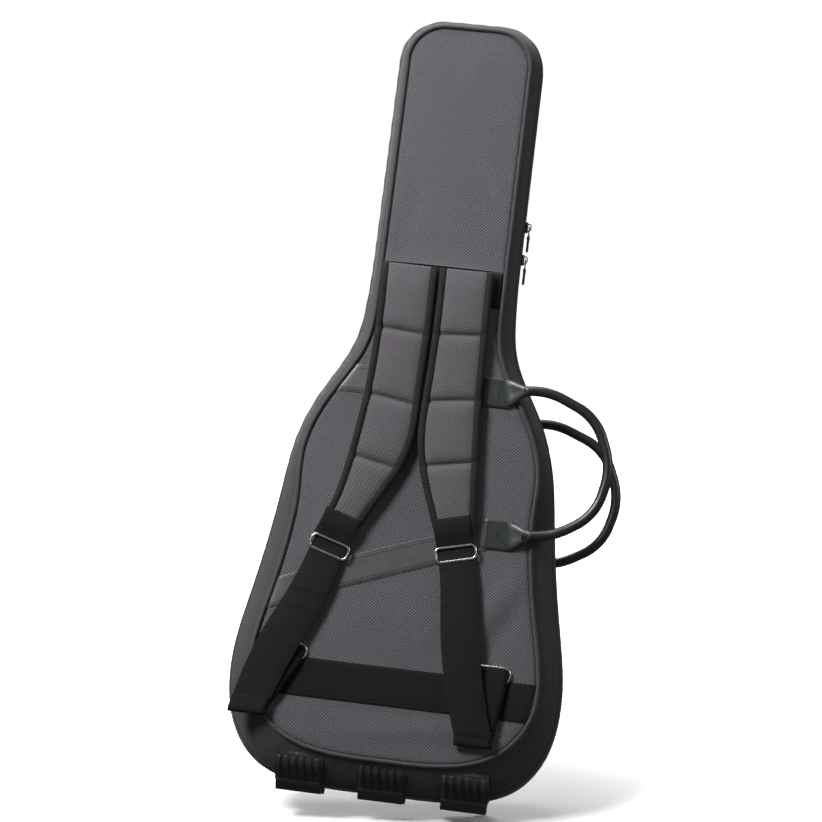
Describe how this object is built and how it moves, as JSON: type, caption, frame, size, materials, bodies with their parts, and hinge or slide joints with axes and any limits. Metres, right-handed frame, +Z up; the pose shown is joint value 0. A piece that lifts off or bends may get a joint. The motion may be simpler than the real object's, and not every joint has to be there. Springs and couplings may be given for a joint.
{
  "type": "padded gig bag",
  "caption": "Padded gig bag for an electric or semi-hollow guitar, with shoulder straps and link ends on the back, side carry handles, a zipped opening lid, a front pocket and rubber feet.",
  "frame": {"origin": "on the floor under the middle of the bag, in the plane of the zip", "axes": "+Z up the bag, the back panel with the shoulder straps faces -Y, the lid opens towards +Y, the carry handles stand out towards +X"},
  "size_m": [0.4896, 0.1623, 1.066],
  "materials": {
    "shell_fabric": "charcoal woven polyester, matt with a faint sheen",
    "lining_plush": "short-pile plush lining",
    "foam": "closed-cell foam sheet, hidden between skin and lining",
    "piping_cord": "fabric-covered piping cord",
    "webbing": "flat woven polypropylene webbing",
    "pad_fabric": "charcoal woven polyester over foam, quilted across",
    "binding_tape": "black binding tape, edge-stitched",
    "imitation_leather": "grey imitation leather, double-stitched edges",
    "handle_leather": "black imitation leather rolled round a cord",
    "foot_rubber": "black moulded rubber with raised ribs",
    "nickel_wire": "nickel-plated steel wire",
    "slider_metal": "gunmetal die-cast slider",
    "zip_coil": "black nylon coil on woven tape"
  },
  "bodies": {
    "body": {"back_panel_upper": "shell_fabric", "back_panel_lower": "shell_fabric", "back_gusset": "shell_fabric", "back_padding": "foam", "back_lining": "lining_plush", "back_piping": "piping_cord", "body_zip": "zip_coil", "body_hinge_strip": "shell_fabric", "shoulder_anchor_band": "webbing", "lower_anchor_band": "webbing", "upper_reinforcement_band": "imitation_leather", "diagonal_reinforcement_band": "imitation_leather", "back_handle_patch_upper": "imitation_leather", "back_handle_patch_lower": "imitation_leather", "back_foot_left": "foot_rubber", "back_foot_centre": "foot_rubber", "back_foot_right": "foot_rubber", "neck_cradle": "lining_plush"},
    "lid": {"front_panel": "shell_fabric", "front_gusset": "shell_fabric", "front_padding": "foam", "front_lining": "lining_plush", "front_piping": "piping_cord", "lid_zip": "zip_coil", "lid_hinge_strip": "shell_fabric", "front_handle_patch_upper": "imitation_leather", "front_handle_patch_lower": "imitation_leather", "front_foot_left": "foot_rubber", "front_foot_centre": "foot_rubber", "front_foot_right": "foot_rubber", "pocket_gusset": "shell_fabric", "pocket_panel": "shell_fabric", "pocket_zip": "zip_coil"},
    "back_handle": {"back_handle": "handle_leather"},
    "front_handle": {"front_handle": "handle_leather"},
    "main_slider_upper": {"main_slider_upper": "slider_metal"},
    "main_slider_lower": {"main_slider_lower": "slider_metal"},
    "main_pull_upper": {"main_pull_link_upper": "slider_metal", "main_pull_tab_upper": "handle_leather"},
    "main_pull_lower": {"main_pull_link_lower": "slider_metal", "main_pull_tab_lower": "handle_leather"},
    "pocket_slider": {"pocket_slider": "slider_metal"},
    "pocket_pull": {"pocket_pull": "handle_leather"},
    "neck_strap_left": {"neck_strap_left": "webbing"},
    "neck_strap_right": {"neck_strap_right": "webbing"},
    "left_pad": {"left_pad": "pad_fabric", "left_pad_binding": "binding_tape", "left_pad_patch": "webbing"},
    "left_webbing_front": {"left_strap_link": "nickel_wire", "left_webbing_front": "webbing"},
    "left_webbing_back": {"left_ring": "nickel_wire", "left_webbing_back": "webbing"},
    "right_pad": {"right_pad": "pad_fabric", "right_pad_binding": "binding_tape", "right_pad_patch": "webbing"},
    "right_webbing_front": {"right_strap_link": "nickel_wire", "right_webbing_front": "webbing"},
    "right_webbing_back": {"right_ring": "nickel_wire", "right_webbing_back": "webbing"}
  },
  "joints": [
    {"name": "lid_hinge", "type": "hinge", "parent": "body", "child": "lid", "pos_m": [-0.223, 0, 0.18], "axis": [0, 0, 1], "range_deg": [0, 170]},
    {"name": "back_handle_swing", "type": "hinge", "parent": "body", "child": "back_handle", "pos_m": [0.094, -0.0701, 0.547], "axis": [0.137, 0, -0.9906], "range_deg": [0, 100]},
    {"name": "front_handle_swing", "type": "hinge", "parent": "lid", "child": "front_handle", "pos_m": [0.1, 0.0701, 0.527], "axis": [-0.137, 0, 0.9906], "range_deg": [0, 100]},
    {"name": "main_slider_upper_slide", "type": "slide", "parent": "body", "child": "main_slider_upper", "axis": [0, 0, 1], "range_m": [0, 0.2]},
    {"name": "main_slider_lower_slide", "type": "slide", "parent": "body", "child": "main_slider_lower", "axis": [0, 0, -1], "range_m": [0, 0.02]},
    {"name": "main_pull_upper_swing", "type": "hinge", "parent": "main_slider_upper", "child": "main_pull_upper", "pos_m": [0.1052, 0, 0.7912], "axis": [0, -1, 0], "range_deg": [0, 150]},
    {"name": "main_pull_lower_swing", "type": "hinge", "parent": "main_slider_lower", "child": "main_pull_lower", "pos_m": [0.1052, 0, 0.7452], "axis": [0, -1, 0], "range_deg": [0, 150]},
    {"name": "pocket_slider_slide", "type": "slide", "parent": "lid", "child": "pocket_slider", "axis": [1, 0, 0], "range_m": [0, 0.2]},
    {"name": "pocket_pull_swing", "type": "hinge", "parent": "pocket_slider", "child": "pocket_pull", "pos_m": [-0.1, 0.08445, 0.2816], "axis": [1, 0, 0], "range_deg": [0, 120]},
    {"name": "neck_strap_left_swing", "type": "hinge", "parent": "body", "child": "neck_strap_left", "pos_m": [-0.045, -0.01, 0.735], "axis": [0, 0, 1], "range_deg": [0, 110]},
    {"name": "neck_strap_right_swing", "type": "hinge", "parent": "body", "child": "neck_strap_right", "pos_m": [0.045, -0.01, 0.735], "axis": [0, 0, -1], "range_deg": [0, 110]},
    {"name": "left_pad_swing", "type": "hinge", "parent": "body", "child": "left_pad", "pos_m": [-0.044, -0.066, 0.705], "axis": [-1, 0, 0], "range_deg": [0, 20]},
    {"name": "left_webbing_front_swing", "type": "hinge", "parent": "left_pad", "child": "left_webbing_front", "pos_m": [-0.10022, -0.07, 0.3271], "axis": [-0.9563, 0, 0.2924], "range_deg": [-40, 0]},
    {"name": "left_webbing_back_swing", "type": "hinge", "parent": "body", "child": "left_webbing_back", "pos_m": [-0.142, -0.0639, 0.1885], "axis": [-1, 0, 0], "range_deg": [0, 52]},
    {"name": "right_pad_swing", "type": "hinge", "parent": "body", "child": "right_pad", "pos_m": [0.033, -0.066, 0.705], "axis": [-1, 0, 0], "range_deg": [0, 20]},
    {"name": "right_webbing_front_swing", "type": "hinge", "parent": "right_pad", "child": "right_webbing_front", "pos_m": [0.0597, -0.07, 0.3372], "axis": [-0.9703, 0, -0.2419], "range_deg": [-40, 0]},
    {"name": "right_webbing_back_swing", "type": "hinge", "parent": "body", "child": "right_webbing_back", "pos_m": [0.124, -0.0639, 0.1885], "axis": [-1, 0, 0], "range_deg": [0, 52]}
  ],
  "couplings": [
    {"joint": "left_webbing_front_swing", "follows": "left_pad_swing", "ratio": -1.77},
    {"joint": "left_webbing_back_swing", "follows": "left_pad_swing", "ratio": 2.15},
    {"joint": "right_webbing_front_swing", "follows": "right_pad_swing", "ratio": -1.665},
    {"joint": "right_webbing_back_swing", "follows": "right_pad_swing", "ratio": 2}
  ]
}
